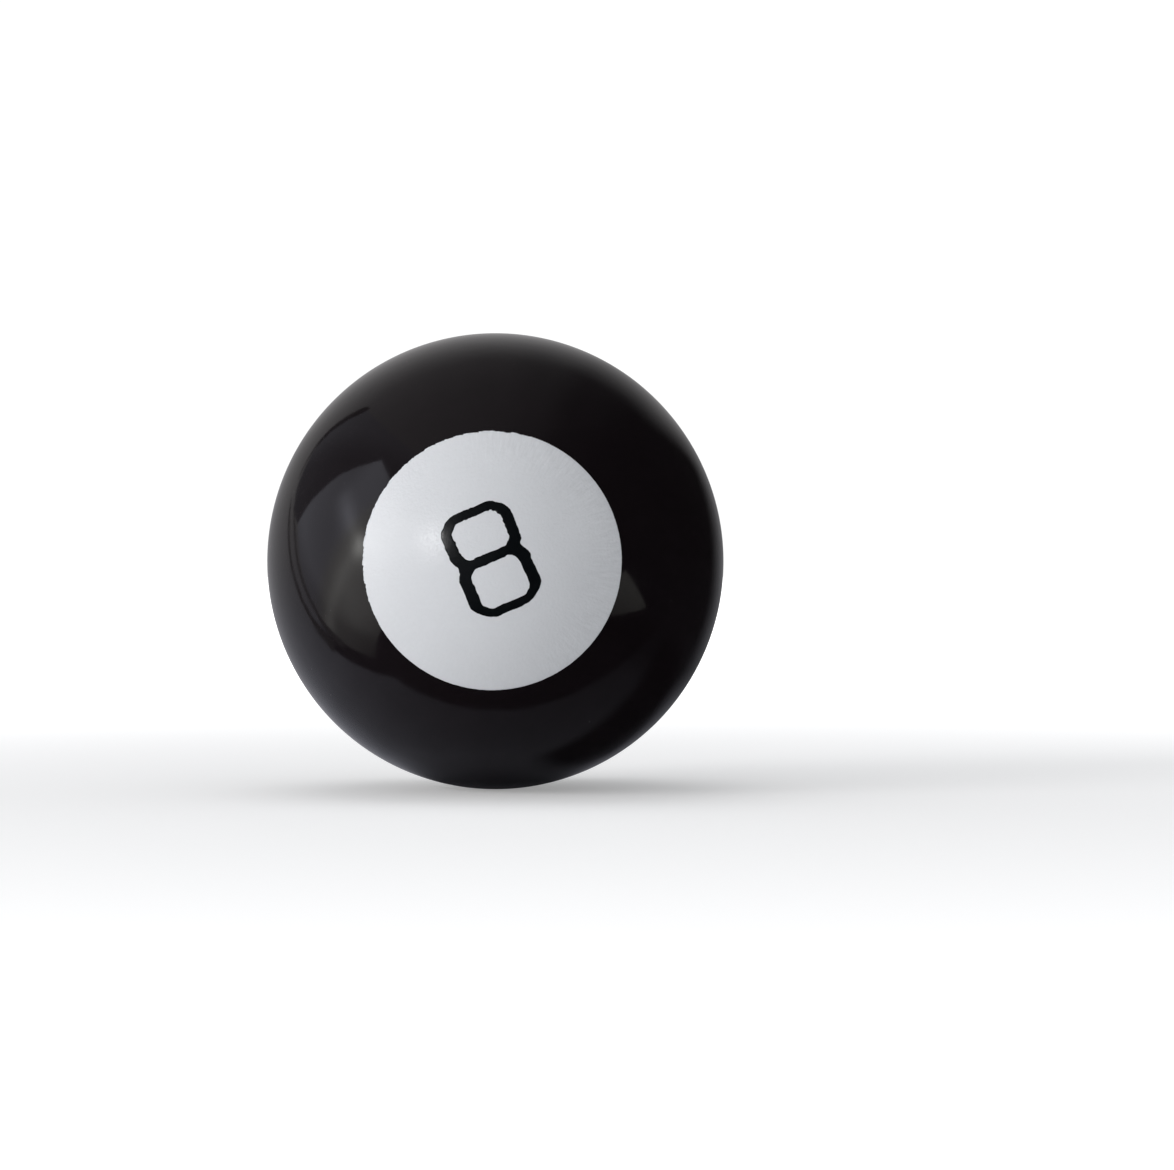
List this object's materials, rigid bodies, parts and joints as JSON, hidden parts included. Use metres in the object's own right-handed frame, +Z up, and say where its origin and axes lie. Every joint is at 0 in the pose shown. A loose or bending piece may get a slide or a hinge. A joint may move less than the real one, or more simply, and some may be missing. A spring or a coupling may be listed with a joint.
{
  "type": "numbered answer ball",
  "caption": "Small glossy ball with a numbered white spot in front and a clear window behind it, which holds a floating answer die in dyed liquid.",
  "frame": {"origin": "centre of the ball", "axes": "-Y out through the middle of the number, +Y out through the window and its flat foot ring, +Z up with the ball held on its side between two fingers"},
  "size_m": [0.038, 0.0353, 0.038],
  "materials": {
    "black_shell": "gloss",
    "seam_cement": "gloss",
    "white_print": "satin",
    "black_print": "satin",
    "clear_plastic": "polished",
    "cap_plastic": "satin",
    "funnel_plastic": "satin",
    "soft_seal": "matte",
    "pad_foam": "matte",
    "dyed_liquid": "gloss",
    "die_plastic": "satin"
  },
  "bodies": {
    "ball": {"front_shell": "black_shell", "rear_shell": "black_shell", "seam_bond": "seam_cement", "number_disc": "white_print", "numeral_eight": "black_print", "vial_cup": "clear_plastic", "window_gasket": "soft_seal", "vial_cap": "cap_plastic", "cap_seal": "soft_seal", "bubble_funnel": "funnel_plastic", "filler_plug": "cap_plastic", "plug_seal": "soft_seal", "vial_pad": "pad_foam"},
    "filling": {"dye_liquid": "dyed_liquid"},
    "die": {"die_front_half": "die_plastic", "die_back_half": "die_plastic"}
  },
  "joints": [
    {"name": "liquid_swirl", "type": "hinge", "parent": "ball", "child": "filling", "pos_m": [0, 0.005, 0], "axis": [0, 1, 0], "continuous": true},
    {"name": "die_float", "type": "slide", "parent": "filling", "child": "die", "axis": [0, -1, 0], "range_m": [0, 0.0073], "deforming": ["dye_liquid"]}
  ]
}
